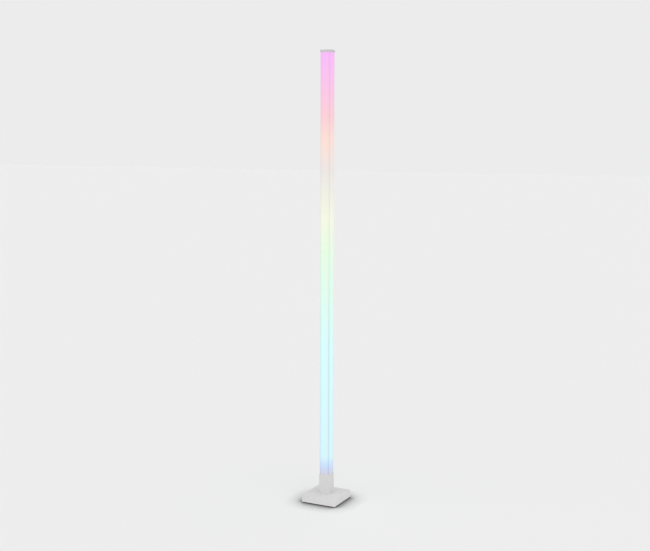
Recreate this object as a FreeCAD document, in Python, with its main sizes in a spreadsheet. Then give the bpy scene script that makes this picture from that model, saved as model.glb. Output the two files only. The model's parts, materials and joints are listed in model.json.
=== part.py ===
import FreeCAD, Part
import math
import os
import re

import Sketcher

# Corner floor lamp: a lit square column in a short stem on a weighted square base.
# Millimetres. The origin is at the centre of the base on the floor, +Z is up, the
# front of the lamp faces -Y, and the inlet and the button are in the rear wall, at +Y.

DOC = FreeCAD.newDocument("CornerFloorLamp")

# Driving sizes. Each can be set by itself.
SIZES = {
    # outline
    "lamp_height": 1500,
    "base_side": 123,
    "base_top": 26.6,
    "stem_top": 93.3,
    "tube_side": 34,
    "cap_overhang": 1,
    "cap_thick": 7.5,
    # clearances, each side
    "slip_fit": 0.15,
    "seat_fit": 0.2,
    "thread_gap": 0.1,
    "screw_clear": 0.2,
    "head_clear": 0.4,
    "run_gap": 0.3,
    "face_gap": 0.2,
    "cut_margin": 1,
    # base cover
    "base_wall": 2.5,
    "base_roof": 2.5,
    "base_corner": 1.5,
    "base_edge": 0.8,
    "boss_inset": 10,
    "boss_radius": 4.5,
    "pilot_radius": 1.5,
    "pilot_depth": 12,
    "spacer_radius": 4,
    # feet and bottom plate
    "foot_height": 2.6,
    "foot_radius": 7,
    "foot_inset": 19.5,
    "foot_edge": 0.5,
    "plate_thick": 1.5,
    "plate_gap": 0.3,
    # ballast
    "ballast_thick": 14,
    "ballast_gap": 3,
    "boss_relief": 1,
    "bay_gap": 3,
    # screws with a cross recess
    "plate_screw_length": 9,
    "plate_head_radius": 2.8,
    "plate_head_height": 1.6,
    "stem_bolt_spread": 20,
    "stem_bolt_radius": 2,
    "stem_bolt_length": 28,
    "stem_head_radius": 3.5,
    "stem_head_height": 4,
    "stem_head_sink": 0.6,
    "core_port_radius": 1.7,
    "core_screw_length": 20,
    "core_head_radius": 3.8,
    "core_head_height": 3,
    "board_screw_radius": 1,
    "board_screw_length": 4,
    "board_head_radius": 1.9,
    "board_head_height": 1.3,
    "cross_width": 0.8,
    "cross_depth": 0.8,
    # stem and the socket inside it
    "stem_wall": 1.4,
    "stem_corner": 1,
    "stem_edge": 0.4,
    "ledge_width": 3.45,
    "ledge_thick": 2.5,
    "socket_base": 13.5,
    "socket_depth": 40,
    "socket_wall": 2.3,
    "socket_well": 5,
    # column
    "tube_wall": 1.6,
    "tube_corner": 1.5,
    "plug_corner": 1.2,
    "bore_corner": 0.8,
    "tube_insert": 12.8,
    "seat_flange": 2.5,
    "seat_ring": 2,
    "seat_height": 11,
    "junction_thick": 1.6,
    "core_side": 14,
    "core_chamber": 4.2,
    "core_web": 3,
    "strip_width": 10,
    "strip_thick": 0.4,
    "strip_clear": 0.3,
    "led_side": 5,
    "led_thick": 1.6,
    "led_pitch": 33.3,
    "led_start": 12,
    "ring_thick": 3,
    "ring_step": 10,
    # top insert and cap
    "insert_depth": 13,
    "insert_well": 4,
    "core_grip": 6,
    "cap_corner": 1.2,
    "cap_edge": 0.5,
    "cap_roof": 2.5,
    "clip_width": 6,
    "clip_thick": 1.5,
    "clip_reach": 7,
    "clip_spread": 23,
    # wires to the column
    "wire_radius": 0.7,
    "wire_pitch": 1.9,
    "wire_bend": 3,
    "wire_clear": 1,
    "wire_lead": 0.6,
    "slot_clear": 0.5,
    "grommet_wall": 1,
    "grommet_lip": 0.8,
    # control board and what it carries
    "board_length": 58,
    "board_depth": 26,
    "board_thick": 1.6,
    "board_setback": 4,
    "standoff_height": 3,
    "standoff_radius": 2.5,
    "standoff_inset": 2.5,
    "radio_length": 15,
    "radio_depth": 17,
    "radio_thick": 0.8,
    "radio_shift": 16,
    "radio_inset": 10.2,
    "shield_length": 12,
    "shield_depth": 11,
    "shield_height": 2.2,
    "coil_side": 7,
    "coil_height": 4.5,
    "coil_corner": 1.5,
    "coil_shift": 20,
    "coil_inset": 7,
    "can_radius": 3.15,
    "can_height": 8,
    "can_shift": 11,
    "can_inset": 5,
    "can_pitch": 7.2,
    "chip_length": 5,
    "chip_depth": 4,
    "chip_height": 1.6,
    "chip_shift": 1,
    "chip_inset": 12.5,
    "chip_pitch": 7.5,
    "header_wall": 1,
    "header_height": 6,
    "header_floor": 1,
    "header_inset": 4.5,
    "plug_width": 8,
    "plug_depth": 4.2,
    "plug_height": 6.5,
    # inlet for a 5.5 mm barrel plug with a 2.1 mm bore
    "jack_offset": 16,
    "jack_width": 9,
    "jack_height": 11,
    "jack_length": 14,
    "nose_radius": 3.8,
    "jack_bore": 2.8,
    "jack_depth": 9.5,
    "pin_radius": 1,
    "pin_inset": 1,
    "terminal_radius": 0.5,
    "terminal_inset": 6,
    "terminal_pitch": 3,
    "terminal_reach": 0.8,
    # push button and its switch
    "button_offset": 16,
    "button_radius": 5,
    "button_lip": 1.2,
    "button_flange": 1.2,
    "button_edge": 0.4,
    "button_travel": 0.8,
    "travel_spare": 0.1,
    "face_inset": 0.3,
    "switch_width": 7,
    "switch_depth": 5.5,
    "switch_height": 8.5,
    "switch_gap": 4.5,
    "switch_cavity": 3.2,
    "plunger_radius": 1.7,
    "dome_thick": 0.2,
}

# Sizes and places that follow from the driving sizes.
PLACES = {
    # base
    "base_half": "base_side / 2",
    "wall_face": "base_half - base_wall",
    "cover_ceiling": "base_top - base_roof",
    "plate_top": "foot_height + plate_thick",
    "plate_side": "2 * (wall_face - plate_gap)",
    "foot_reach": "base_half - foot_inset",
    "boss_spread": "2 * (base_half - boss_inset)",
    "ballast_half": "wall_face - ballast_gap",
    "ballast_top": "plate_top + ballast_thick",
    "relief_start": "boss_spread / 2 - boss_radius - boss_relief",
    "relief_side": "ballast_half + cut_margin - relief_start",
    "relief_centre": "relief_start + relief_side / 2",
    "plate_screw_radius": "pilot_radius - thread_gap",
    "plate_hole_radius": "plate_screw_radius + screw_clear",
    "stem_hole_radius": "stem_bolt_radius + screw_clear",
    "stem_bolt_seat": "plate_top + stem_head_sink + stem_head_height",
    # column, from the foot up
    "stem_bore": "tube_side + 2 * slip_fit",
    "stem_side": "stem_bore + 2 * stem_wall",
    "socket_side": "stem_bore - 2 * seat_fit",
    "core_hole": "core_side + 2 * seat_fit",
    "tower_side": "core_hole + 2 * socket_wall",
    "tube_foot": "stem_top - tube_insert",
    "seat_level": "tube_foot - seat_flange",
    "core_foot": "seat_level - socket_depth",
    "tube_bore": "tube_side - 2 * tube_wall",
    "plug_side": "tube_bore - 2 * seat_fit",
    "ring_bore": "plug_side - 2 * seat_ring",
    "junction_top": "tube_foot + junction_thick",
    "chamber_spread": "core_web + core_chamber",
    "core_screw_radius": "core_port_radius - thread_gap",
    "core_screw_hole": "core_screw_radius + screw_clear",
    "core_screw_seat": "base_top + socket_well",
    # column, from the top down
    "cap_side": "tube_side + 2 * cap_overhang",
    "cap_bottom": "lamp_height - cap_thick",
    "insert_bottom": "cap_bottom - insert_depth",
    "core_top": "insert_bottom + core_grip",
    "top_screw_seat": "cap_bottom - insert_well",
    "strip_top": "insert_bottom - strip_clear",
    # light-emitting packages and the rings between them
    "led_run": "strip_top - junction_top - led_start - led_side",
    "led_count": "floor(led_run / led_pitch) + 1",
    "led_foot": "junction_top + led_start",
    "ring_count": "floor((led_count - 1) / ring_step) - 1",
    "ring_foot": "led_foot + led_side / 2 + (ring_step + 1 / 2) * led_pitch - ring_thick / 2",
    "notch_width": "strip_width + 2 * strip_clear",
    "notch_reach": "core_side + 2 * (strip_thick + strip_clear)",
    # control board
    "board_rear": "wall_face - board_setback",
    "board_front": "board_rear - board_depth",
    "board_middle": "(board_rear + board_front) / 2",
    "board_floor": "plate_top + standoff_height",
    "board_face": "board_floor + board_thick",
    "bay_front": "board_front - bay_gap",
    "bay_depth": "ballast_half + cut_margin - bay_front",
    "post_spread_long": "board_length - 2 * standoff_inset",
    "post_spread_deep": "board_depth - 2 * standoff_inset",
    "board_hole_radius": "board_screw_radius + screw_clear",
    "header_line": "board_front + header_inset",
    "plug_foot": "board_face + header_floor",
    "plug_top": "plug_foot + plug_height",
    "header_bore_long": "plug_width + 2 * seat_fit",
    "header_bore_deep": "plug_depth + 2 * seat_fit",
    # inlet and button
    "port_level": "board_face + jack_height / 2",
    "port_face": "base_half - face_inset",
    "flange_face": "wall_face - face_gap",
    "jack_back": "flange_face - jack_length",
    "terminal_start": "flange_face - terminal_inset",
    "terminal_hole": "terminal_radius + thread_gap",
    "switch_face": "wall_face - switch_gap",
    "cavity_floor": "switch_face - switch_cavity",
    "plunger_start": "cavity_floor + dome_thick + button_travel + travel_spare",
    "button_back": "flange_face - button_flange",
    # wires
    "wire_line": "tower_side / 2 + wire_clear + wire_radius",
    "wire_over_ballast": "ballast_top + wire_clear + wire_radius",
    "wire_over_plug": "plug_top + wire_lead + wire_bend",
    "wire_level": "max(wire_over_ballast; wire_over_plug)",
    "bundle_width": "2 * (wire_pitch + wire_radius)",
    "slot_length": "bundle_width + 2 * slot_clear",
    "slot_width": "2 * (wire_radius + slot_clear)",
    "grommet_bore_long": "bundle_width + 2 * seat_fit",
    "grommet_bore_deep": "2 * (wire_radius + seat_fit)",
    "grommet_long": "grommet_bore_long + 2 * grommet_wall",
    "grommet_deep": "grommet_bore_deep + 2 * grommet_wall",
}

SHEET_OF = dict.fromkeys(SIZES, "Sizes")
SHEET_OF.update(dict.fromkeys(PLACES, "Places"))

# Two lengths nearer than this are the same when an edge is looked for.
SAME = 0.001

# A wire's volume may differ from its section times its length by this share.
VOLUME_SHARE = 0.001


# ---------------------------------------------------------------- sheets

def formula(text):
    """The text with each alias written with the name of its sheet."""
    return re.sub(r"[a-z_]+", lambda word: f"{SHEET_OF[word[0]]}.{word[0]}"
                  if word[0] in SHEET_OF else word[0], text)


def fill_sheet(name, cells, written):
    sheet = DOC.addObject("Spreadsheet::Sheet", name)
    for row, (alias, content) in enumerate(cells.items(), start=1):
        sheet.set(f"A{row}", alias)
        sheet.set(f"B{row}", written(content))
        sheet.setAlias(f"B{row}", alias)
    DOC.recompute()
    return sheet


SIZES_SHEET = fill_sheet("Sizes", SIZES, str)
PLACES_SHEET = fill_sheet("Places", PLACES, lambda text: "=" + formula(text))


def value(text):
    """The number that a formula gives now."""
    return float(PLACES_SHEET.evalExpression(formula(text)))


# ---------------------------------------------------------------- sketches

def new_body(label):
    body = DOC.addObject("PartDesign::Body", label)
    body.Label = label
    return body


def origin_feature(body, role):
    return next(item for item in body.Origin.OriginFeatures if item.Role == role)


def new_sketch(body, plane, centre):
    """A sketch on one of the body's origin planes, moved by three formulas."""
    sketch = body.newObject("Sketcher::SketchObject", body.Name + "_sketch")
    sketch.AttachmentSupport = [(origin_feature(body, plane), "")]
    sketch.MapMode = "FlatFace"
    for axis, text in zip("xyz", centre):
        sketch.setExpression("AttachmentOffset.Base." + axis, formula(text))
    return sketch


def constrain(sketch, kind, places, text):
    """A driving constraint that is bound to a formula."""
    index = sketch.addConstraint(Sketcher.Constraint(kind, *places, value(text)))
    name = f"{kind}_{index}"
    sketch.renameConstraint(index, name)
    sketch.setExpression("Constraints." + name, formula(text))


def draw_rectangle(sketch, width, depth):
    """A rectangle about the sketch's origin."""
    right = value(width) / 2
    back = value(depth) / 2
    corners = [FreeCAD.Vector(-right, -back, 0), FreeCAD.Vector(right, -back, 0),
               FreeCAD.Vector(right, back, 0), FreeCAD.Vector(-right, back, 0)]
    sides = [sketch.addGeometry(Part.LineSegment(corners[turn - 1], corners[turn]), False)
             for turn in range(4)]
    for turn in range(4):
        sketch.addConstraint(Sketcher.Constraint("Coincident", sides[turn - 1], 2, sides[turn], 1))
    for turn in (0, 2):
        sketch.addConstraint(Sketcher.Constraint("Vertical", sides[turn]))
        sketch.addConstraint(Sketcher.Constraint("Horizontal", sides[turn + 1]))
    sketch.addConstraint(Sketcher.Constraint("Symmetric", sides[0], 1, sides[2], 1, -1, 1))
    constrain(sketch, "DistanceX", (sides[1], 1, sides[1], 2), width)
    constrain(sketch, "DistanceY", (sides[2], 1, sides[2], 2), depth)


def draw_circle(sketch, radius):
    """A circle about the sketch's origin."""
    circle = sketch.addGeometry(Part.Circle(FreeCAD.Vector(), FreeCAD.Vector(0, 0, 1), value(radius)), False)
    sketch.addConstraint(Sketcher.Constraint("Coincident", circle, 3, -1, 1))
    constrain(sketch, "Radius", (circle,), radius)


# ---------------------------------------------------------------- features

def add(body, sketch, length, backwards=False):
    """Grow the sketch along its normal, or against it."""
    pad = body.newObject("PartDesign::Pad", body.Name + "_pad")
    pad.Profile = sketch
    pad.setExpression("Length", formula(length))
    pad.Reversed = backwards
    DOC.recompute()


def cut(body, sketch, length, backwards=False):
    """Cut the sketch out along its normal, or against it."""
    before = body.Shape.Volume
    pocket = body.newObject("PartDesign::Pocket", body.Name + "_pocket")
    pocket.Profile = sketch
    pocket.setExpression("Length", formula(length))
    pocket.Reversed = not backwards
    DOC.recompute()
    if not body.Shape.Volume < before:
        raise ValueError(body.Label + ": a cut removed nothing")


def block(body, width, depth, bottom, height, middle=("0", "0")):
    sketch = new_sketch(body, "XY_Plane", (*middle, bottom))
    draw_rectangle(sketch, width, depth)
    add(body, sketch, height)


def hollow(body, width, depth, bottom, height, middle=("0", "0")):
    sketch = new_sketch(body, "XY_Plane", (*middle, bottom))
    draw_rectangle(sketch, width, depth)
    cut(body, sketch, height)


def post(body, radius, bottom, height, middle=("0", "0")):
    sketch = new_sketch(body, "XY_Plane", (*middle, bottom))
    draw_circle(sketch, radius)
    add(body, sketch, height)


def bore(body, radius, bottom, height, middle=("0", "0")):
    sketch = new_sketch(body, "XY_Plane", (*middle, bottom))
    draw_circle(sketch, radius)
    cut(body, sketch, height)


def rod_rearwards(body, radius, start, length, across, level):
    """A round rod along +Y from start."""
    sketch = new_sketch(body, "XZ_Plane", (across, level, f"-({start})"))
    draw_circle(sketch, radius)
    add(body, sketch, length, backwards=True)


def bore_rearwards(body, radius, start, length, across, level):
    """A round hole along +Y from start."""
    sketch = new_sketch(body, "XZ_Plane", (across, level, f"-({start})"))
    draw_circle(sketch, radius)
    cut(body, sketch, length, backwards=True)


def four_places(spread_x, spread_y, middle=("0", "0")):
    """The corners of a rectangle, as pairs of formulas."""
    return [(f"{middle[0]} {sign_x} ({spread_x}) / 2", f"{middle[1]} {sign_y} ({spread_y}) / 2")
            for sign_x in "-+" for sign_y in "-+"]


def mirror_to_four(body):
    """Copy the whole body across the YZ plane, and then across the XZ plane."""
    for plane in ("YZ_Plane", "XZ_Plane"):
        mirror = body.newObject("PartDesign::Mirrored", body.Name + "_mirror")
        mirror.TransformMode = "Whole shape"
        mirror.MirrorPlane = (origin_feature(body, plane), [""])
        body.Tip = mirror
    DOC.recompute()


def repeat(body, axis, count, pitch, backwards=False):
    """Copy the body's last feature along one of its axes."""
    source = body.Tip
    row = body.newObject("PartDesign::LinearPattern", body.Name + "_row")
    row.Originals = [source]
    row.Direction = (origin_feature(body, axis), [""])
    row.Reversed = backwards
    row.Mode = "Spacing"
    row.setExpression("Occurrences", formula(count))
    row.setExpression("Offset", formula(pitch))
    body.Tip = row
    DOC.recompute()


def dress(body, kind, bound, size, wanted):
    """Fillet or chamfer the edges whose ends all pass the test."""
    base = body.Tip
    names = [f"Edge{number}" for number, edge in enumerate(base.Shape.Edges, start=1)
             if wanted(edge)]
    feature = body.newObject("PartDesign::" + kind, body.Name + "_" + kind.lower())
    feature.Base = (base, names)
    feature.setExpression(bound, formula(size))
    DOC.recompute()


def ends(edge):
    return [vertex.Point for vertex in edge.Vertexes]


def on_outline(point, half):
    return abs(max(abs(point.x), abs(point.y)) - half) < SAME


def round_uprights(body, side, radius):
    """Fillet the four upright corners of a centred square."""
    half = value(side) / 2

    def wanted(edge):
        return (len(edge.Vertexes) == 2
                and abs(ends(edge)[0].z - ends(edge)[1].z) > SAME
                and all(abs(abs(end.x) - half) < SAME and abs(abs(end.y) - half) < SAME
                        for end in ends(edge)))

    dress(body, "Fillet", "Radius", radius, wanted)


def round_rim(body, side, level, radius):
    """Fillet the edge of a centred square's face at one level."""
    half = value(side) / 2
    height = value(level)

    def wanted(edge):
        return all(on_outline(end, half) and abs(end.z - height) < SAME for end in ends(edge))

    dress(body, "Fillet", "Radius", radius, wanted)


def chamfer_ring(body, radius, place, along, size):
    """Chamfer a round edge of one radius at one place along an axis."""
    target = value(place)

    def wanted(edge):
        return (isinstance(edge.Curve, Part.Circle)
                and abs(edge.Curve.Radius - value(radius)) < SAME
                and abs(getattr(edge.Curve.Center, along) - target) < SAME)

    dress(body, "Chamfer", "Size", size, wanted)


def screw(body, seat, head, shank, middle, upwards):
    """A pan-head screw with a cross recess. head and shank are (radius, length)."""
    head_radius, head_height = head
    if upwards:
        head_foot = f"({seat}) - {head_height}"
        shank_foot = seat
        recess_foot = head_foot
    else:
        head_foot = seat
        shank_foot = f"({seat}) - {shank[1]}"
        recess_foot = f"({seat}) + {head_height} - cross_depth"
    post(body, head_radius, head_foot, head_height, middle)
    post(body, shank[0], shank_foot, shank[1], middle)
    hollow(body, head_radius, "cross_width", recess_foot, "cross_depth", middle)
    hollow(body, "cross_width", head_radius, recess_foot, "cross_depth", middle)


# ---------------------------------------------------------------- base

def rubber_feet():
    body = new_body("rubber_feet")
    post(body, "foot_radius", "0", "foot_height", ("foot_reach", "foot_reach"))
    chamfer_ring(body, "foot_radius", "0", "z", "foot_edge")
    mirror_to_four(body)


def bottom_plate():
    body = new_body("bottom_plate")
    block(body, "plate_side", "plate_side", "foot_height", "plate_thick")
    for middle in four_places("boss_spread", "boss_spread"):
        bore(body, "plate_hole_radius", "foot_height", "plate_thick", middle)


def bottom_screws():
    body = new_body("bottom_screws")
    middle = ("boss_spread / 2", "boss_spread / 2")
    screw(body, "foot_height", ("plate_head_radius", "plate_head_height"),
          ("plate_screw_radius", "plate_screw_length"), middle, upwards=True)
    mirror_to_four(body)


def ballast_plate():
    """Steel weight, notched for the corner bosses and for the control board."""
    body = new_body("ballast_plate")
    block(body, "2 * ballast_half", "2 * ballast_half", "plate_top", "ballast_thick")
    for middle in four_places("2 * relief_centre", "2 * relief_centre"):
        hollow(body, "relief_side", "relief_side", "plate_top", "ballast_thick", middle)
    hollow(body, "board_length + 2 * bay_gap", "bay_depth", "plate_top", "ballast_thick",
           ("0", "bay_front + bay_depth / 2"))
    for middle in four_places("stem_bolt_spread", "stem_bolt_spread"):
        bore(body, "stem_hole_radius", "plate_top", "ballast_thick", middle)
        bore(body, "stem_head_radius + head_clear", "plate_top", "stem_bolt_seat - plate_top", middle)


def base_cover():
    """White housing, open below, with screw bosses, bolt spacers and rear openings."""
    body = new_body("base_cover")
    block(body, "base_side", "base_side", "foot_height", "base_top - foot_height")
    hollow(body, "2 * wall_face", "2 * wall_face", "foot_height", "cover_ceiling - foot_height")
    round_uprights(body, "base_side", "base_corner")
    round_rim(body, "base_side", "base_top", "base_edge")
    for middle in four_places("boss_spread", "boss_spread"):
        post(body, "boss_radius", "plate_top", "cover_ceiling - plate_top", middle)
        bore(body, "pilot_radius", "plate_top", "pilot_depth", middle)
    for middle in four_places("stem_bolt_spread", "stem_bolt_spread"):
        post(body, "spacer_radius", "ballast_top", "cover_ceiling - ballast_top", middle)
        bore(body, "stem_hole_radius", "ballast_top", "base_top - ballast_top", middle)
    hollow(body, "grommet_long + 2 * thread_gap", "grommet_deep + 2 * thread_gap",
           "cover_ceiling", "base_roof", ("0", "wire_line"))
    bore_rearwards(body, "nose_radius + run_gap", "wall_face", "base_wall", "-jack_offset", "port_level")
    bore_rearwards(body, "button_radius + run_gap", "wall_face", "base_wall", "button_offset", "port_level")


def stem_bolts():
    """Four bolts that clamp the ballast and the cover to the core socket."""
    body = new_body("stem_bolts")
    middle = ("stem_bolt_spread / 2", "stem_bolt_spread / 2")
    screw(body, "stem_bolt_seat", ("stem_head_radius", "stem_head_height"),
          ("stem_bolt_radius", "stem_bolt_length"), middle, upwards=True)
    mirror_to_four(body)


def wire_grommet():
    body = new_body("wire_grommet")
    middle = ("0", "wire_line")
    block(body, "grommet_long", "grommet_deep", "cover_ceiling", "base_roof", middle)
    block(body, "grommet_long + 2 * grommet_lip", "grommet_deep + 2 * grommet_lip",
          "cover_ceiling - grommet_lip", "grommet_lip", middle)
    hollow(body, "grommet_bore_long", "grommet_bore_deep",
           "cover_ceiling - grommet_lip", "base_roof + grommet_lip", middle)


# ---------------------------------------------------------------- stem

def core_socket():
    """Die-cast block on the cover with a square tower that holds the core."""
    body = new_body("core_socket")
    block(body, "socket_side", "socket_side", "base_top", "socket_base")
    round_uprights(body, "socket_side", "stem_corner")
    block(body, "tower_side", "tower_side", "base_top", "seat_level - base_top")
    hollow(body, "core_hole", "core_hole", "core_foot", "socket_depth")
    for middle in four_places("stem_bolt_spread", "stem_bolt_spread"):
        bore(body, "stem_bolt_radius + thread_gap", "base_top",
             "stem_bolt_seat + stem_bolt_length + thread_gap - base_top", middle)
    bore(body, "core_screw_hole", "base_top", "core_foot - base_top")
    bore(body, "core_head_radius + head_clear", "base_top", "socket_well")
    hollow(body, "slot_length", "slot_width", "base_top", "socket_base", ("0", "wire_line"))


def core_screw():
    body = new_body("core_screw")
    screw(body, "core_screw_seat", ("core_head_radius", "core_head_height"),
          ("core_screw_radius", "core_screw_length"), ("0", "0"), upwards=True)


def stem_sleeve():
    """White collar that stands on the cover, with a ledge inside for the seat."""
    body = new_body("stem_sleeve")
    block(body, "stem_side", "stem_side", "base_top", "stem_top - base_top")
    round_uprights(body, "stem_side", "stem_corner")
    round_rim(body, "stem_side", "stem_top", "stem_edge")
    hollow(body, "stem_bore - 2 * ledge_width", "stem_bore - 2 * ledge_width",
           "base_top", "stem_top - base_top")
    hollow(body, "stem_bore", "stem_bore", "base_top", "seat_level - ledge_thick - base_top")
    hollow(body, "stem_bore", "stem_bore", "seat_level", "stem_top - seat_level")


def diffuser_seat():
    """Plug under the tube: a flange on the ledge and a square ring inside the tube."""
    body = new_body("diffuser_seat")
    block(body, "socket_side", "socket_side", "seat_level", "seat_flange")
    block(body, "plug_side", "plug_side", "tube_foot", "seat_height")
    hollow(body, "ring_bore", "ring_bore", "tube_foot", "seat_height")
    hollow(body, "core_hole", "core_hole", "seat_level", "seat_flange")
    hollow(body, "slot_length", "slot_width", "seat_level", "seat_flange", ("0", "wire_line"))
    round_uprights(body, "plug_side", "plug_corner")


def junction_board():
    body = new_body("junction_board")
    side = "ring_bore - 2 * seat_fit"
    block(body, side, side, "tube_foot", "junction_thick")
    hollow(body, "core_hole", "core_hole", "tube_foot", "junction_thick")


# ---------------------------------------------------------------- column

def core_profile():
    """Square extrusion with four chambers and a round screw port."""
    body = new_body("core_profile")
    block(body, "core_side", "core_side", "core_foot", "core_top - core_foot")
    for middle in four_places("chamber_spread", "chamber_spread"):
        hollow(body, "core_chamber", "core_chamber", "core_foot", "core_top - core_foot", middle)
    bore(body, "core_port_radius", "core_foot", "core_top - core_foot")


def led_strips():
    """A flexible strip and its row of packages on each side of the core."""
    strip_middle = "core_side / 2 + strip_thick / 2"
    led_middle = "core_side / 2 + strip_thick + led_thick / 2"
    for turns, side in enumerate(("right", "rear", "left", "front")):
        strip = new_body("led_strip_" + side)
        block(strip, "strip_thick", "strip_width", "junction_top", "strip_top - junction_top",
              (strip_middle, "0"))
        packages = new_body("leds_" + side)
        block(packages, "led_thick", "led_side", "led_foot", "led_side", (led_middle, "0"))
        repeat(packages, "Z_Axis", "led_count", "led_pitch")
        turned = FreeCAD.Rotation(FreeCAD.Vector(0, 0, 1), 90 * turns)
        for body in (strip, packages):
            body.Placement = FreeCAD.Placement(FreeCAD.Vector(), turned)


def centring_rings():
    """Clear spacers between core and tube, notched for the strips."""
    body = new_body("centring_rings")
    block(body, "plug_side", "plug_side", "ring_foot", "ring_thick")
    hollow(body, "core_hole", "core_hole", "ring_foot", "ring_thick")
    hollow(body, "notch_width", "notch_reach", "ring_foot", "ring_thick")
    hollow(body, "notch_reach", "notch_width", "ring_foot", "ring_thick")
    round_uprights(body, "plug_side", "plug_corner")
    row = body.newObject("PartDesign::LinearPattern", "ring_row")
    row.TransformMode = "Whole shape"
    row.Direction = (origin_feature(body, "Z_Axis"), [""])
    row.Mode = "Spacing"
    row.setExpression("Occurrences", formula("ring_count"))
    row.setExpression("Offset", formula("ring_step * led_pitch"))
    body.Tip = row
    DOC.recompute()


def diffuser_tube():
    body = new_body("diffuser_tube")
    length = "cap_bottom - tube_foot"
    block(body, "tube_side", "tube_side", "tube_foot", length)
    hollow(body, "tube_bore", "tube_bore", "tube_foot", length)
    round_uprights(body, "tube_side", "tube_corner")
    round_uprights(body, "tube_bore", "bore_corner")


def top_insert():
    """Plug in the tube's top: grips the core below and takes the cap's clips above."""
    body = new_body("top_insert")
    block(body, "plug_side", "plug_side", "insert_bottom", "insert_depth")
    round_uprights(body, "plug_side", "plug_corner")
    hollow(body, "core_hole", "core_hole", "insert_bottom", "core_grip")
    bore(body, "core_screw_hole", "core_top", "cap_bottom - core_top")
    bore(body, "core_head_radius + head_clear", "top_screw_seat", "insert_well")
    slot_thick = "clip_thick + 2 * seat_fit"
    slot_wide = "clip_width + 2 * seat_fit"
    slot_reach = "clip_reach + seat_fit"
    for sign in "-+":
        place = f"{sign} clip_spread / 2"
        hollow(body, slot_thick, slot_wide, f"cap_bottom - ({slot_reach})", slot_reach, (place, "0"))
        hollow(body, slot_wide, slot_thick, f"cap_bottom - ({slot_reach})", slot_reach, ("0", place))


def top_screw():
    body = new_body("top_screw")
    screw(body, "top_screw_seat", ("core_head_radius", "core_head_height"),
          ("core_screw_radius", "core_screw_length"), ("0", "0"), upwards=False)


def top_cap():
    """Pale lid that rests on the tube, with four clips that reach into the insert."""
    body = new_body("top_cap")
    block(body, "cap_side", "cap_side", "cap_bottom", "cap_thick")
    round_uprights(body, "cap_side", "cap_corner")
    round_rim(body, "cap_side", "lamp_height", "cap_edge")
    hollow(body, "plug_side", "plug_side", "cap_bottom", "cap_thick - cap_roof")
    foot = "cap_bottom - clip_reach"
    height = "cap_thick - cap_roof + clip_reach"
    for sign in "-+":
        place = f"{sign} clip_spread / 2"
        block(body, "clip_thick", "clip_width", foot, height, (place, "0"))
        block(body, "clip_width", "clip_thick", foot, height, ("0", place))


# ---------------------------------------------------------------- control board

def board_posts():
    return four_places("post_spread_long", "post_spread_deep", ("0", "board_middle"))


def control_board():
    body = new_body("control_board")
    block(body, "board_length", "board_depth", "board_floor", "board_thick", ("0", "board_middle"))
    for middle in board_posts():
        bore(body, "board_hole_radius", "board_floor", "board_thick", middle)
    bore(body, "terminal_hole", "board_floor", "board_thick", ("-jack_offset", "terminal_start"))
    repeat(body, "Y_Axis", "3", "terminal_pitch", backwards=True)


def board_standoffs():
    body = new_body("board_standoffs")
    for middle in board_posts():
        post(body, "standoff_radius", "plate_top", "standoff_height", middle)
        bore(body, "board_screw_radius + thread_gap", "plate_top", "standoff_height", middle)


def board_screws():
    body = new_body("board_screws")
    for middle in board_posts():
        screw(body, "board_face", ("board_head_radius", "board_head_height"),
              ("board_screw_radius", "board_screw_length"), middle, upwards=False)


def radio():
    """Wireless module and the metal shield soldered on it."""
    middle = ("radio_shift", "board_front + radio_inset")
    module = new_body("radio_module")
    block(module, "radio_length", "radio_depth", "board_face", "radio_thick", middle)
    shield = new_body("radio_shield")
    block(shield, "shield_length", "shield_depth", "board_face + radio_thick", "shield_height", middle)


def power_inductor():
    body = new_body("power_inductor")
    block(body, "coil_side", "coil_side", "board_face", "coil_height",
          ("-coil_shift", "board_front + coil_inset"))
    uprights = [edge for edge in body.Shape.Edges if abs(ends(edge)[0].z - ends(edge)[1].z) > SAME]
    tops = [end.z for edge in uprights for end in ends(edge)]
    dress(body, "Chamfer", "Size", "coil_corner",
          lambda edge: min(end.z for end in ends(edge)) == min(tops)
          and max(end.z for end in ends(edge)) == max(tops))


def board_capacitors():
    body = new_body("board_capacitors")
    post(body, "can_radius", "board_face", "can_height", ("-can_shift", "board_front + can_inset"))
    repeat(body, "Y_Axis", "2", "can_pitch")


def board_chips():
    body = new_body("board_chips")
    block(body, "chip_length", "chip_depth", "board_face", "chip_height",
          ("chip_shift", "board_front + chip_inset"))
    repeat(body, "Y_Axis", "2", "chip_pitch")


def board_header():
    body = new_body("board_header")
    middle = ("0", "header_line")
    block(body, "header_bore_long + 2 * header_wall", "header_bore_deep + 2 * header_wall",
          "board_face", "header_height", middle)
    hollow(body, "header_bore_long", "header_bore_deep", "plug_foot",
           "header_height - header_floor", middle)


def lead_plug():
    body = new_body("lead_plug")
    block(body, "plug_width", "plug_depth", "plug_foot", "plug_height", ("0", "header_line"))


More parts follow.
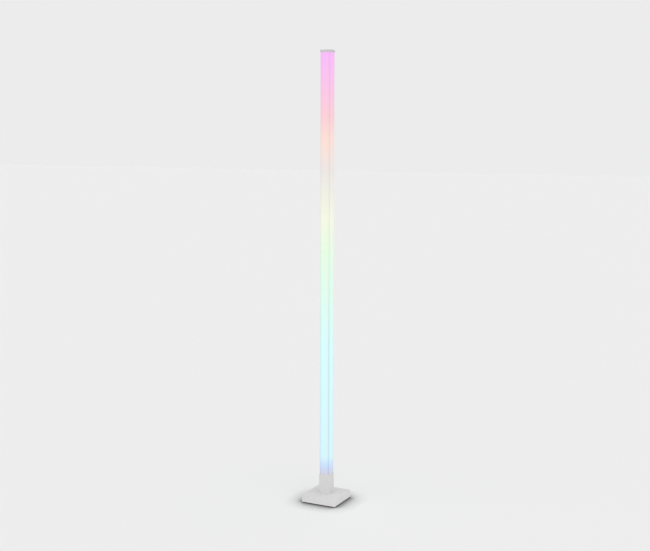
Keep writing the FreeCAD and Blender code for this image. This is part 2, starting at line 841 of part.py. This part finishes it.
def lead_wire(label, across):
    """One wire: up from the plug, over the ballast and up beside the core."""
    body = new_body(label)
    radius = value("wire_bend")
    start_line = value("header_line")
    end_line = value("wire_line")
    level = value("wire_level")
    normal = FreeCAD.Vector(0, 0, 1)
    first_centre = FreeCAD.Vector(start_line - radius, level - radius, 0)
    second_centre = FreeCAD.Vector(end_line + radius, level + radius, 0)
    path = new_sketch(body, "YZ_Plane", ("0", "0", across))
    rise = path.addGeometry(Part.LineSegment(
        FreeCAD.Vector(start_line, value("plug_top"), 0),
        FreeCAD.Vector(start_line, level - radius, 0)), False)
    first_bend = path.addGeometry(Part.ArcOfCircle(
        Part.Circle(first_centre, normal, radius), 0, math.pi / 2), False)
    run = path.addGeometry(Part.LineSegment(
        FreeCAD.Vector(start_line - radius, level, 0),
        FreeCAD.Vector(end_line + radius, level, 0)), False)
    second_bend = path.addGeometry(Part.ArcOfCircle(
        Part.Circle(second_centre, normal, radius), math.pi, 3 * math.pi / 2), False)
    climb = path.addGeometry(Part.LineSegment(
        FreeCAD.Vector(end_line, level + radius, 0),
        FreeCAD.Vector(end_line, value("tube_foot"), 0)), False)
    for joined in ((rise, 2, first_bend, 1), (first_bend, 2, run, 1),
                   (run, 2, second_bend, 2), (second_bend, 1, climb, 1)):
        path.addConstraint(Sketcher.Constraint("Tangent", *joined))
    path.addConstraint(Sketcher.Constraint("Vertical", rise))
    path.addConstraint(Sketcher.Constraint("Horizontal", run))
    path.addConstraint(Sketcher.Constraint("Vertical", climb))
    constrain(path, "Radius", (first_bend,), "wire_bend")
    constrain(path, "Radius", (second_bend,), "wire_bend")
    constrain(path, "DistanceX", (-1, 1, rise, 1), "header_line")
    constrain(path, "DistanceY", (-1, 1, rise, 1), "plug_top")
    constrain(path, "DistanceY", (-1, 1, run, 1), "wire_level")
    constrain(path, "DistanceX", (-1, 1, climb, 2), "wire_line")
    constrain(path, "DistanceY", (-1, 1, climb, 2), "tube_foot")
    section = new_sketch(body, "XY_Plane", (across, "header_line", "plug_top"))
    draw_circle(section, "wire_radius")
    DOC.recompute()
    pipe = body.newObject("PartDesign::AdditivePipe", label + "_pipe")
    pipe.Profile = section
    pipe.Spine = (path, [f"Edge{number}" for number in range(1, 6)])
    DOC.recompute()
    length = sum(edge.Length for edge in path.Shape.Edges)
    expected = math.pi * value("wire_radius") ** 2 * length
    if abs(body.Shape.Volume / expected - 1) > VOLUME_SHARE:
        raise ValueError(label + ": the tube's volume doesn't match its route")


# ---------------------------------------------------------------- inlet and button

def jack_body():
    """Inlet for a barrel plug: a block on the board with a nose in the rear wall."""
    body = new_body("jack_body")
    block(body, "jack_width", "jack_length", "board_face", "jack_height",
          ("-jack_offset", "jack_back + jack_length / 2"))
    rod_rearwards(body, "nose_radius", "flange_face", "port_face - flange_face",
                  "-jack_offset", "port_level")
    bore_rearwards(body, "jack_bore", "port_face - jack_depth", "jack_depth",
                   "-jack_offset", "port_level")


def jack_pin():
    body = new_body("jack_pin")
    rod_rearwards(body, "pin_radius", "port_face - jack_depth", "jack_depth - pin_inset",
                  "-jack_offset", "port_level")


def jack_terminals():
    body = new_body("jack_terminals")
    post(body, "terminal_radius", "board_floor - terminal_reach", "board_thick + terminal_reach",
         ("-jack_offset", "terminal_start"))
    repeat(body, "Y_Axis", "3", "terminal_pitch", backwards=True)


def switch_body():
    body = new_body("switch_body")
    block(body, "switch_width", "switch_depth", "board_face", "switch_height",
          ("button_offset", "switch_face - switch_depth / 2"))
    bore_rearwards(body, "plunger_radius + run_gap", "cavity_floor", "switch_cavity",
                   "button_offset", "port_level")


def switch_dome():
    """Snap dome on the cavity's floor, in its pressed shape."""
    body = new_body("switch_dome")
    rod_rearwards(body, "plunger_radius", "cavity_floor", "dome_thick", "button_offset", "port_level")


def switch_plunger():
    body = new_body("switch_plunger")
    rod_rearwards(body, "plunger_radius", "plunger_start", "button_back - plunger_start",
                  "button_offset", "port_level")


def button_cap():
    """Round key: a flange inside the wall and a neck through it."""
    body = new_body("button_cap")
    rod_rearwards(body, "button_radius + button_lip", "button_back", "button_flange",
                  "button_offset", "port_level")
    rod_rearwards(body, "button_radius", "flange_face", "port_face - flange_face",
                  "button_offset", "port_level")
    chamfer_ring(body, "button_radius", "port_face", "y", "button_edge")


# ---------------------------------------------------------------- whole lamp

def build():
    for piece in (rubber_feet, bottom_plate, bottom_screws, ballast_plate, base_cover, stem_bolts,
                  wire_grommet, core_socket, core_screw, stem_sleeve, diffuser_seat, junction_board,
                  core_profile, led_strips, centring_rings, diffuser_tube, top_insert, top_screw,
                  top_cap, control_board, board_standoffs, board_screws, radio, power_inductor,
                  board_capacitors, board_chips, board_header, lead_plug, jack_body, jack_pin,
                  jack_terminals, switch_body, switch_dome, switch_plunger, button_cap):
        piece()
    lead_wire("power_wire", "-wire_pitch")
    lead_wire("data_wire", "0")
    lead_wire("ground_wire", "wire_pitch")
    DOC.recompute()


def check():
    for item in DOC.Objects:
        if "Invalid" in item.State or "Error" in item.State:
            raise ValueError(f"{item.Name} failed: {item.State}")
    for body in DOC.findObjects("PartDesign::Body"):
        if body.Shape.isNull() or not body.Shape.isValid() or not body.Shape.Solids:
            raise ValueError(body.Label + " has no valid solid")


def export():
    os.makedirs("parts", exist_ok=True)
    for body in DOC.findObjects("PartDesign::Body"):
        body.Shape.exportStep(f"parts/{body.Label}.step")


build()
check()
export()
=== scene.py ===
import json
import math

import bpy
from mathutils import Matrix, Vector


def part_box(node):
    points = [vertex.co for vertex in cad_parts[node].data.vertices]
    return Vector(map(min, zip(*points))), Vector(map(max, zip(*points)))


# Looks of the corner floor lamp: a lit square column on a short stem and a low base.
# Metres, in the row frame: +Z up, the front faces -Y, the floor is at Z = 0.

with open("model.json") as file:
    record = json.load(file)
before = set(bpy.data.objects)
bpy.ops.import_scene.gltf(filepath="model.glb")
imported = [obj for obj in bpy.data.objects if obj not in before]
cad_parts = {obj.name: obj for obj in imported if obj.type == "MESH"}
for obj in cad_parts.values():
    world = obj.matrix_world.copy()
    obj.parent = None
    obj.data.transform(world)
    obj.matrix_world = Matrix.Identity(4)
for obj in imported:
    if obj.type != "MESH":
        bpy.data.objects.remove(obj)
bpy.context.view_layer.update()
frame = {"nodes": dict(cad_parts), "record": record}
NODES = frame["nodes"]
SLOT_OF = {part["node"]: part["material_slot"] for part in frame["record"]["subparts"]}

TUBE_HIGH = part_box("diffuser_tube")[1]
STEM_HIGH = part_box("stem_sleeve")[1]
TUBE_HALF = TUBE_HIGH.x

# Camera: fitted to the corners of the base, stem and cap in the 650 x 551 picture.
CAMERA_PLACE = Vector((1.6296, -3.2448, 1.2348))
CAMERA_AHEAD = Vector((-0.45042, 0.89282, 0.0))
CAMERA_PITCH = math.radians(-7.337)
CAMERA_ROLL = math.radians(0.145)
FOCAL_PIXELS = 1107.56
PICTURE_WIDTH = 650
SENSOR = 36.0

# Light: a plain white surround and two very wide soft lamps over a pale floor.
# The shares are about what each gives a level surface; together they are the floor's light.
PALE_GREY = 0.839
FLOOR_GREY = 0.85
FLOOR_LIGHT = PALE_GREY / FLOOR_GREY
FLOOR_SIZE = 60.0
KEY = {"azimuth": 12, "elevation": 38, "spread": 110, "share": 0.28}
SIDE = {"azimuth": 122, "elevation": 40, "spread": 120, "share": 0.19}
SURROUND = FLOOR_LIGHT - KEY["share"] - SIDE["share"]

# The painted shadow on the floor close round the base: how far it reaches, and how steeply it
# deepens.
PAINTED_SHADOW_REACH = 0.068
PAINTED_SHADOW_DEPTH = 2.35

# Most values of a noise, and the middle part of them for patterns with harder edges.
NOISE_RANGE = (0.3, 0.7)
NOISE_MIDDLE = (0.35, 0.65)
BLACK = (0.0, 0.0, 0.0)


# ---------------------------------------------------------------- node graphs

def grey(level):
    return (level, level, level)


def shade(colour, share):
    """The colour times a share."""
    return tuple(channel * share for channel in colour)


class Graph:
    """A material with one Principled shader, and short ways to add nodes to it."""

    def __init__(self, name, roughness=0.5, metallic=0.0, **plain):
        self.material = bpy.data.materials.new(name)
        self.material.use_nodes = True
        self.tree = self.material.node_tree
        self.shader = self.tree.nodes["Principled BSDF"]
        self.set("Roughness", roughness)
        self.set("Metallic", metallic)
        for socket, number in plain.items():
            self.set(socket.replace("_", " "), number)

    def feed(self, node, socket, content):
        """A plain value for a node's input, or a link where content is another's output."""
        target = node.inputs[socket]
        if isinstance(content, bpy.types.NodeSocket):
            self.tree.links.new(content, target)
        else:
            target.default_value = content

    def set(self, socket, content):
        """The same for an input of the shader."""
        self.feed(self.shader, socket, content)

    def node(self, kind, **inputs):
        """A new shader node; an underscore in an input's name stands for a space."""
        made = self.tree.nodes.new("ShaderNode" + kind)
        for name, content in inputs.items():
            self.feed(made, name.replace("_", " "), content)
        return made

    def place(self, stretch=(1, 1, 1)):
        """Object coordinates, which are metres in the row frame, stretched per axis."""
        mapping = self.node("Mapping", Vector=self.node("TexCoord").outputs["Object"])
        mapping.inputs["Scale"].default_value = stretch
        return mapping.outputs["Vector"]

    def noise(self, scale, detail=3.0, stretch=(1, 1, 1)):
        """Soft noise; scale is in waves per metre."""
        made = self.node("TexNoise", Vector=self.place(stretch), Scale=scale,
                         Detail=detail, Roughness=0.5)
        return made.outputs["Fac"]

    def cells(self, scale):
        """Distance to the middle of scattered cells; scale is in cells per metre."""
        made = self.node("TexVoronoi", Vector=self.place(), Scale=scale)
        return made.outputs["Distance"]

    def span(self, factor, low, high, start=0.0, end=1.0):
        """The factor's range from start to end, moved to the range from low to high."""
        made = self.node("MapRange", Value=factor, From_Min=start, From_Max=end,
                         To_Min=low, To_Max=high)
        return made.outputs["Result"]

    def vary(self, noise, low, high):
        """A noise whose values run from low to high."""
        return self.span(noise, low, high, *NOISE_RANGE)

    def combine(self, operation, first, second):
        """Two values joined by one of the Math node's operations."""
        made = self.node("Math")
        made.operation = operation
        self.feed(made, 0, first)
        self.feed(made, 1, second)
        return made.outputs["Value"]

    def ramp(self, factor, stops):
        """A colour ramp through (place, colour) stops."""
        made = self.node("ValToRGB", Fac=factor)
        elements = made.color_ramp.elements
        while len(elements) < len(stops):
            elements.new(1.0)
        for element, (place, colour) in zip(elements, stops):
            element.position = place
            element.color = (*colour, 1.0)
        return made.outputs["Color"]

    def mottle(self, noise, first, second):
        """A noise that runs from one colour to another."""
        low, high = NOISE_RANGE
        return self.ramp(noise, [(low, first), (high, second)])

    def tint(self, factor, first, second, blend="MIX"):
        """Two colours mixed by a factor."""
        made = self.node("Mix")
        made.data_type = "RGBA"
        made.blend_type = blend
        for socket, content in ((0, factor), (6, first), (7, second)):
            if isinstance(content, tuple):
                content = (*content, 1.0)
            self.feed(made, socket, content)
        return made.outputs[2]

    def times(self, first, second):
        """The product of two colours."""
        return self.tint(1.0, first, second, "MULTIPLY")

    def bump(self, height, depth):
        """Surface relief, depth in metres."""
        made = self.node("Bump", Height=height, Strength=1.0, Distance=depth)
        self.set("Normal", made.outputs["Normal"])


# ---------------------------------------------------------------- materials

def white_plastic(slot, colour=(0.67, 0.663, 0.665), roughness=(0.42, 0.52)):
    """Satin moulded housing: spark-eroded texture over very slight flow marks."""
    graph = Graph(slot)
    flow = graph.noise(9.0, 3.0, (1, 1, 0.6))
    graph.set("Base Color", graph.mottle(flow, shade(colour, 0.975), shade(colour, 1.02)))
    graph.set("Roughness", graph.vary(graph.noise(70.0, 4.0), *roughness))
    texture = graph.combine("ADD", graph.cells(2600.0), graph.noise(4200.0, 2.0))
    graph.bump(texture, 0.000012)
    return graph.material


def cap_plastic(slot):
    """The housing's plastic in pale grey."""
    return white_plastic(slot, (0.55, 0.545, 0.55))


def button_white(slot):
    """The housing's plastic, polished smoother."""
    return white_plastic(slot, (0.64, 0.635, 0.635), (0.26, 0.34))


# Colours of the glow from the stem (0) to the cap (1), as the lit diffuser shows them.
GLOW = [
    (0.000, (0.64, 0.64, 0.75)),    # lavender grey, where the stem shades it
    (0.014, (0.61, 0.70, 0.93)),    # periwinkle
    (0.024, (0.60, 0.78, 0.98)),    # sky blue
    (0.042, (0.68, 0.92, 0.98)),    # pale aqua
    (0.310, (0.69, 0.98, 0.99)),    # aqua
    (0.530, (0.78, 0.97, 0.78)),    # spring green
    (0.620, (0.90, 0.93, 0.77)),    # straw
    (0.725, (0.83, 0.79, 0.77)),    # warm grey
    (0.800, (0.97, 0.74, 0.67)),    # peach
    (0.850, (0.96, 0.62, 0.68)),    # rose
    (1.000, (0.95, 0.49, 0.97)),    # violet pink
]
GLOW_DRIFT = 0.005


def glow_colour(graph, axes):
    """The glow's colour at each height, with a slow uneven drift along the strips."""
    height = graph.span(axes.outputs["Z"], 0.0, 1.0, STEM_HIGH.z, TUBE_HIGH.z)
    drift = graph.vary(graph.noise(5.0, 2.0), -GLOW_DRIFT, GLOW_DRIFT)
    return graph.ramp(graph.combine("ADD", height, drift), GLOW)


# The tube's corners are darker. CORNER_CLOSENESS runs from a face's middle (0) to the corner (1).
# CORNER_SHADE is the share of light that the corner loses low and high on the tube, and
# CORNER_CHANGE gives the heights between which the one passes into the other.
CORNER_CLOSENESS = [(0.50, grey(0.0)), (0.75, grey(0.18)), (0.90, grey(0.48)), (0.975, grey(1.0))]
CORNER_SHADE = (0.24, 0.13)
CORNER_CHANGE = (0.58, 0.78)


def corner_shade(graph, axes):
    """The share of light that the tube loses towards its corners."""
    across = graph.combine("MINIMUM", graph.combine("ABSOLUTE", axes.outputs["X"], 0.0),
                           graph.combine("ABSOLUTE", axes.outputs["Y"], 0.0))
    closeness = graph.ramp(graph.span(across, 0.0, 1.0, 0.0, TUBE_HALF), CORNER_CLOSENESS)
    depth = graph.span(axes.outputs["Z"], *CORNER_SHADE, *CORNER_CHANGE)
    return graph.combine("MULTIPLY", closeness, depth)


def opal_diffuser(slot):
    """Frosted tube that glows: the colour runs with height, and the corners are darker. The base
    colour is that glow, darker corners included, painted in as painted light.
    """
    glow_share = 0.70
    painted_glow_share = 0.32
    graph = Graph(slot, Emission_Strength=glow_share, Specular_IOR_Level=0.05)
    axes = graph.node("SeparateXYZ", Vector=graph.place())
    colour = graph.tint(corner_shade(graph, axes), glow_colour(graph, axes), BLACK)
    streaks = graph.mottle(graph.noise(420.0, 2.0, (1, 1, 0.004)), grey(0.985), grey(1.0))
    lit = graph.times(colour, streaks)
    graph.set("Emission Color", lit)
    # Painted light: the base colour is the glow's colour with its darker corners, times a share.
    graph.set("Base Color", graph.times(lit, grey(painted_glow_share)))
    graph.set("Roughness", graph.vary(graph.noise(260.0, 3.0, (1, 1, 0.02)), 0.42, 0.55))
    graph.bump(graph.noise(1500.0, 2.0, (1, 1, 0.03)), 0.000008)
    return graph.material


def led_package(slot):
    """Light-emitting packages: pale bodies that shine in the glow's colour at their height."""
    shine = 0.55
    graph = Graph(slot, Emission_Strength=shine)
    axes = graph.node("SeparateXYZ", Vector=graph.place())
    mould = graph.mottle(graph.noise(700.0, 3.0), (0.40, 0.39, 0.36), (0.50, 0.49, 0.47))
    graph.set("Base Color", mould)
    graph.set("Emission Color", glow_colour(graph, axes))
    graph.set("Roughness", graph.vary(graph.noise(400.0, 2.0), 0.18, 0.35))
    return graph.material


def circuit(slot, mask, track, scale):
    """A circuit board: solder mask over a web of raised tracks."""
    track_width = 0.06
    graph = Graph(slot)
    bricks = graph.node("TexBrick", Vector=graph.place((1, 1, 0.35)), Scale=scale,
                        Mortar_Size=track_width)
    web = graph.span(bricks.outputs["Fac"], 0.0, 1.0)
    speckle = graph.span(graph.noise(600.0, 3.0), 0.0, 0.25, *NOISE_MIDDLE)
    graph.set("Base Color", graph.tint(graph.combine("ADD", web, speckle), mask, track))
    graph.set("Roughness", graph.vary(graph.noise(200.0, 3.0), 0.28, 0.42))
    graph.bump(web, 0.00003)
    return graph.material


def circuit_green(slot):
    return circuit(slot, (0.015, 0.12, 0.045), (0.05, 0.24, 0.09), 180.0)


def circuit_white(slot):
    return circuit(slot, (0.76, 0.76, 0.73), (0.88, 0.80, 0.60), 90.0)


def clear_plastic(slot):
    """Clear polycarbonate with faint moulding swirl."""
    graph = Graph(slot, Transmission_Weight=0.9, IOR=1.58)
    swirl = graph.noise(120.0, 4.0)
    graph.set("Base Color", graph.mottle(swirl, (0.88, 0.92, 0.95), (0.96, 0.98, 1.0)))
    graph.set("Roughness", graph.vary(swirl, 0.05, 0.16))
    graph.bump(graph.noise(300.0, 3.0), 0.00001)
    return graph.material


def ballast_steel(slot):
    """Bare plate: pale rolling lines along X over mottled mill scale."""
    graph = Graph(slot, metallic=1.0)
    lines = graph.noise(260.0, 3.0, (0.04, 1, 1))
    scale = graph.noise(35.0, 5.0)
    mottled = graph.mottle(scale, (0.26, 0.26, 0.27), (0.46, 0.46, 0.47))
    line_share = graph.span(lines, 0.0, 0.5, *NOISE_MIDDLE)
    graph.set("Base Color", graph.tint(line_share, mottled, (0.55, 0.55, 0.56)))
    graph.set("Roughness", graph.vary(scale, 0.30, 0.55))
    graph.bump(lines, 0.00002)
    return graph.material


def zinc_screw(slot):
    """Zinc plating: pale spangle and a soft blue-yellow shift."""
    graph = Graph(slot, metallic=1.0)
    spangle = graph.ramp(graph.cells(900.0), [(0.1, (0.50, 0.52, 0.55)), (0.5, (0.68, 0.67, 0.63))])
    graph.set("Base Color", spangle)
    graph.set("Roughness", graph.vary(graph.noise(700.0, 3.0), 0.22, 0.40))
    graph.bump(graph.noise(2500.0, 2.0), 0.000005)
    return graph.material


def grained(slot, colour, change, patches, roughness, grain, depth,
            stretch=(1, 1, 1), metallic=0.0):
    """One colour with slow tone changes, uneven gloss and fine grain.

    change is the share by which the tone shifts, patches and grain are in waves per metre,
    roughness is the range of the gloss, and depth is the grain's, in metres.
    """
    gloss_to_patches = 2.3
    graph = Graph(slot, metallic=metallic)
    tone = graph.noise(patches, 4.0, stretch)
    graph.set("Base Color", graph.mottle(tone, shade(colour, 1 - change), shade(colour, 1 + change)))
    gloss = graph.noise(patches * gloss_to_patches, 3.0, stretch)
    graph.set("Roughness", graph.vary(gloss, *roughness))
    graph.bump(graph.noise(grain, 2.0, stretch), depth)
    return graph.material


GRAINED = {
    "black_rubber": {"colour": (0.030, 0.030, 0.032), "change": 0.25, "patches": 60,
                     "roughness": (0.75, 0.92), "grain": 1200, "depth": 0.00004},
    "plate_steel": {"colour": (0.035, 0.035, 0.037), "change": 0.12, "patches": 50,
                    "roughness": (0.45, 0.58), "grain": 1400, "depth": 0.00005},
    "cast_alloy": {"colour": (0.55, 0.55, 0.56), "change": 0.10, "patches": 70,
                   "roughness": (0.48, 0.62), "grain": 1300, "depth": 0.00004, "metallic": 1.0},
    "extruded_alloy": {"colour": (0.68, 0.68, 0.69), "change": 0.06, "patches": 300,
                       "roughness": (0.28, 0.42), "grain": 2200, "depth": 0.00001,
                       "stretch": (1, 1, 0.01), "metallic": 1.0},
    "inner_plastic": {"colour": (0.68, 0.67, 0.64), "change": 0.03, "patches": 30,
                      "roughness": (0.45, 0.6), "grain": 900, "depth": 0.00002},
    "tin_shield": {"colour": (0.62, 0.62, 0.61), "change": 0.08, "patches": 90,
                   "roughness": (0.25, 0.4), "grain": 1800, "depth": 0.00001, "metallic": 1.0},
    "can_alloy": {"colour": (0.64, 0.64, 0.66), "change": 0.05, "patches": 200,
                  "roughness": (0.22, 0.34), "grain": 2000, "depth": 0.00001,
                  "stretch": (1, 1, 0.1), "metallic": 1.0},
    "chip_black": {"colour": (0.018, 0.018, 0.02), "change": 0.2, "patches": 150,
                   "roughness": (0.5, 0.7), "grain": 2600, "depth": 0.00001},
    "connector_cream": {"colour": (0.66, 0.61, 0.50), "change": 0.04, "patches": 80,
                        "roughness": (0.4, 0.5), "grain": 1500, "depth": 0.00001},
    "wire_red": {"colour": (0.50, 0.02, 0.02), "change": 0.10, "patches": 200,
                 "roughness": (0.35, 0.5), "grain": 1800, "depth": 0.00001},
    "wire_black": {"colour": (0.02, 0.02, 0.02), "change": 0.15, "patches": 200,
                   "roughness": (0.35, 0.5), "grain": 1800, "depth": 0.00001},
    "wire_green": {"colour": (0.02, 0.28, 0.07), "change": 0.10, "patches": 200,
                   "roughness": (0.35, 0.5), "grain": 1800, "depth": 0.00001},
    "jack_black": {"colour": (0.022, 0.022, 0.024), "change": 0.2, "patches": 120,
                   "roughness": (0.38, 0.5), "grain": 1600, "depth": 0.00002},
    "contact_brass": {"colour": (0.78, 0.58, 0.27), "change": 0.08, "patches": 300,
                      "roughness": (0.16, 0.28), "grain": 2400, "depth": 0.000005,
                      "metallic": 1.0},
}

# The slots with a function of their own, which has the slot's name.
OWN_FINISH = (white_plastic, cap_plastic, button_white, opal_diffuser, led_package, circuit_green,
              circuit_white, clear_plastic, ballast_steel, zinc_screw)


def dress_nodes():
    """Each CAD node gets the material of its slot."""
    finishes = {make.__name__: make(make.__name__) for make in OWN_FINISH}
    for slot, look in GRAINED.items():
        finishes[slot] = grained(slot, **look)
    for name, node in NODES.items():
        node.data.materials.clear()
        node.data.materials.append(finishes[SLOT_OF[name]])


# ---------------------------------------------------------------- studio

def add_world():
    """White surround that lights the lamp; the camera and reflections see pale grey."""
    world = bpy.data.worlds.new("surround")
    bpy.context.scene.world = world
    world.use_nodes = True
    tree = world.node_tree
    tree.nodes.clear()
    output = tree.nodes.new("ShaderNodeOutputWorld")
    mix = tree.nodes.new("ShaderNodeMixShader")
    light = tree.nodes.new("ShaderNodeBackground")
    seen = tree.nodes.new("ShaderNodeBackground")
    light.inputs["Color"].default_value = (*grey(1.0), 1.0)
    light.inputs["Strength"].default_value = SURROUND
    seen.inputs["Color"].default_value = (*grey(PALE_GREY), 1.0)
    seen.inputs["Strength"].default_value = 1.0
    path = tree.nodes.new("ShaderNodeLightPath")
    either = path.outputs["Is Camera Ray"]
    for ray in ("Is Glossy Ray", "Is Transmission Ray"):
        most = tree.nodes.new("ShaderNodeMath")
        most.operation = "MAXIMUM"
        tree.links.new(either, most.inputs[0])
        tree.links.new(path.outputs[ray], most.inputs[1])
        either = most.outputs[0]
    tree.links.new(either, mix.inputs[0])
    tree.links.new(light.outputs[0], mix.inputs[1])
    tree.links.new(seen.outputs[0], mix.inputs[2])
    tree.links.new(mix.outputs[0], output.inputs["Surface"])


def floor_paint():
    """Pale matt floor with a painted contact shadow: the camera sees it darker where something
    stands close over it.
    """
    graph = Graph("floor", roughness=1.0, Specular_IOR_Level=0.0)
    openness = graph.node("AmbientOcclusion", Distance=PAINTED_SHADOW_REACH).outputs["AO"]
    # Painted shadow: the floor's colour darkens with ambient occlusion, for camera rays only.
    painted_contact_shadow = graph.combine("POWER", openness, PAINTED_SHADOW_DEPTH)
    camera = graph.node("LightPath").outputs["Is Camera Ray"]
    pale = grey(FLOOR_GREY)
    seen = graph.tint(painted_contact_shadow, BLACK, pale)
    graph.set("Base Color", graph.tint(camera, pale, seen))
    return graph.material


def add_floor():
    """A level square round the lamp, far larger than the picture shows."""
    mesh = bpy.data.meshes.new("floor")
    half = FLOOR_SIZE / 2
    corners = [(-half, -half, 0), (half, -half, 0), (half, half, 0), (-half, half, 0)]
    mesh.from_pydata(corners, [], [(0, 1, 2, 3)])
    floor = bpy.data.objects.new("floor", mesh)
    bpy.context.scene.collection.objects.link(floor)
    mesh.materials.append(floor_paint())


def add_lamp(name, azimuth, elevation, spread, share, gloss=True):
    """A very wide sun, so the floor stays even and the shadows stay soft."""
    turn = math.radians(azimuth)
    rise = math.radians(elevation)
    level = math.cos(rise)
    light = bpy.data.lights.new(name, "SUN")
    light.angle = math.radians(spread)
    light.energy = share * math.pi / math.sin(rise)
    lamp = bpy.data.objects.new(name, light)
    towards = Vector((math.sin(turn) * level, -math.cos(turn) * level, math.sin(rise)))
    lamp.rotation_euler = towards.to_track_quat("Z", "Y").to_euler()
    lamp.visible_glossy = gloss
    bpy.context.scene.collection.objects.link(lamp)


def add_camera():
    """The camera that took the photo: its place, direction, roll and focal length."""
    data = bpy.data.cameras.new("camera")
    data.sensor_width = SENSOR
    data.lens = FOCAL_PIXELS * SENSOR / PICTURE_WIDTH
    camera = bpy.data.objects.new("camera", data)
    bpy.context.scene.collection.objects.link(camera)
    level = CAMERA_AHEAD.normalized() * math.cos(CAMERA_PITCH)
    ahead = level + Vector((0, 0, math.sin(CAMERA_PITCH)))
    turn = ahead.to_track_quat("-Z", "Y").to_matrix()
    roll = Matrix.Rotation(CAMERA_ROLL, 3, "Z")
    camera.matrix_world = Matrix.Translation(CAMERA_PLACE) @ (turn @ roll).to_4x4()
    bpy.context.scene.camera = camera


add_camera()
add_world()
add_floor()
add_lamp("key", **KEY)
add_lamp("side", gloss=False, **SIDE)
dress_nodes()
bpy.context.scene.view_settings.view_transform = "Standard"
